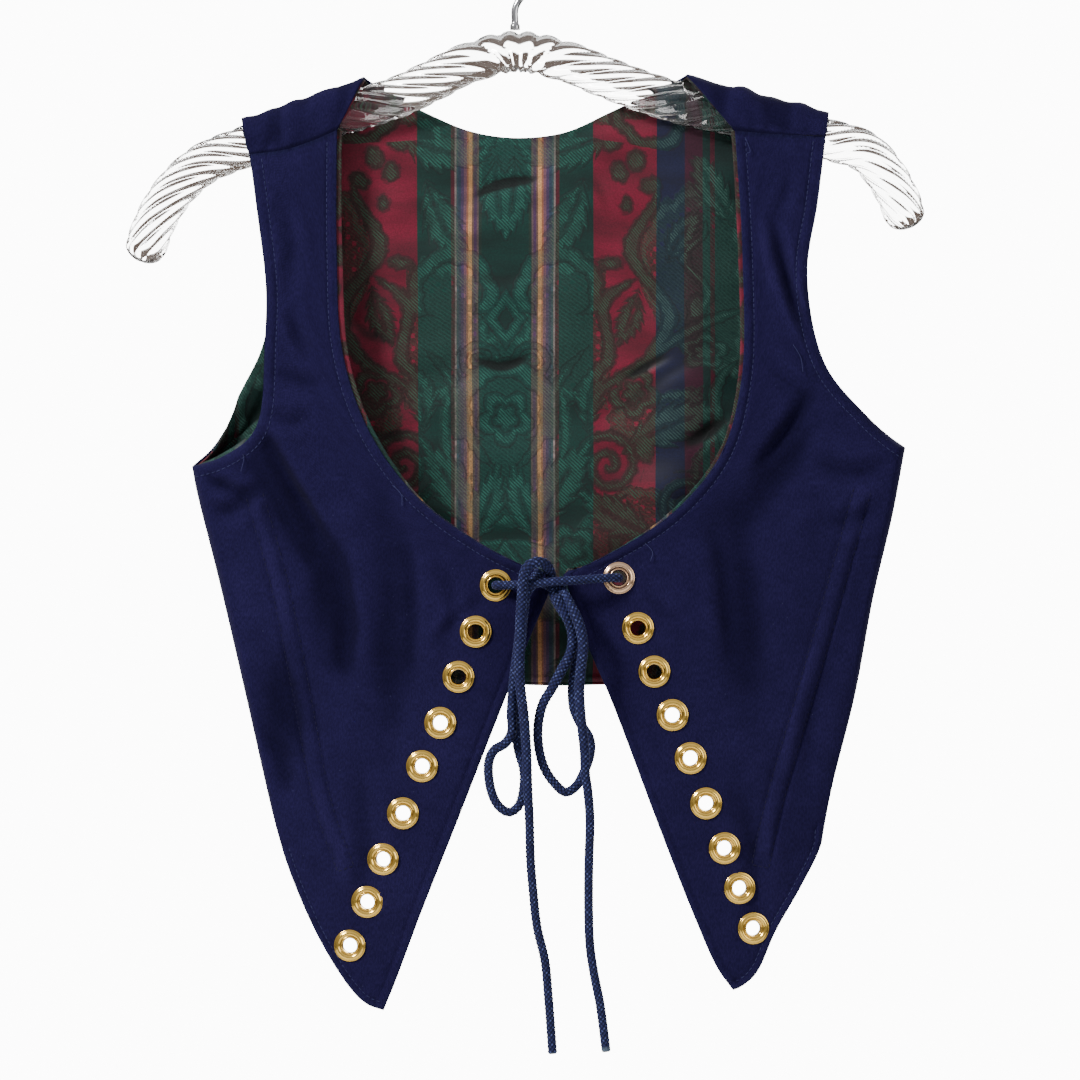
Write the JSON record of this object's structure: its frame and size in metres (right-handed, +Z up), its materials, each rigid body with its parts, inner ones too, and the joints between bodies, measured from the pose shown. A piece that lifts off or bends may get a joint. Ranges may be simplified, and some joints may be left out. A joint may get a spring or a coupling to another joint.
{
  "type": "laced renaissance bodice on a clear hanger",
  "caption": "Sleeveless bodice with a scooped neck, pointed laced fronts with brass grommets and a striped brocade lining, hanging on a clear hanger.",
  "frame": {"origin": "inner top of the hanger's hook, where a rail holds it", "axes": "+Z up, -Y the bodice's front, +X to the right seen from the front"},
  "size_m": [0.4308, 0.0536, 0.6113],
  "materials": {
    "twill": "matte navy cotton twill",
    "brocade": "striped satin brocade in green, crimson and navy",
    "brass": "polished",
    "lace": "braided navy cord",
    "clear_plastic": "clear, fluted",
    "steel": "polished"
  },
  "bodies": {
    "root": {"front_left_shell": "twill", "front_left_lining": "brocade", "front_right_shell": "twill", "front_right_lining": "brocade", "back_shell": "twill", "back_lining": "brocade", "hanger": "clear_plastic", "hook": "steel", "lace_across": "lace", "lace_knot": "lace", "lace_loop_left": "lace", "lace_loop_right": "lace", "lace_end_left": "lace", "lace_end_right": "lace", "grommet_left_1": "brass", "grommet_left_2": "brass", "grommet_left_3": "brass", "grommet_left_4": "brass", "grommet_left_5": "brass", "grommet_left_6": "brass", "grommet_left_7": "brass", "grommet_left_8": "brass", "grommet_left_9": "brass", "grommet_right_1": "brass", "grommet_right_2": "brass", "grommet_right_3": "brass", "grommet_right_4": "brass", "grommet_right_5": "brass", "grommet_right_6": "brass", "grommet_right_7": "brass", "grommet_right_8": "brass", "grommet_right_9": "brass"}
  },
  "joints": []
}
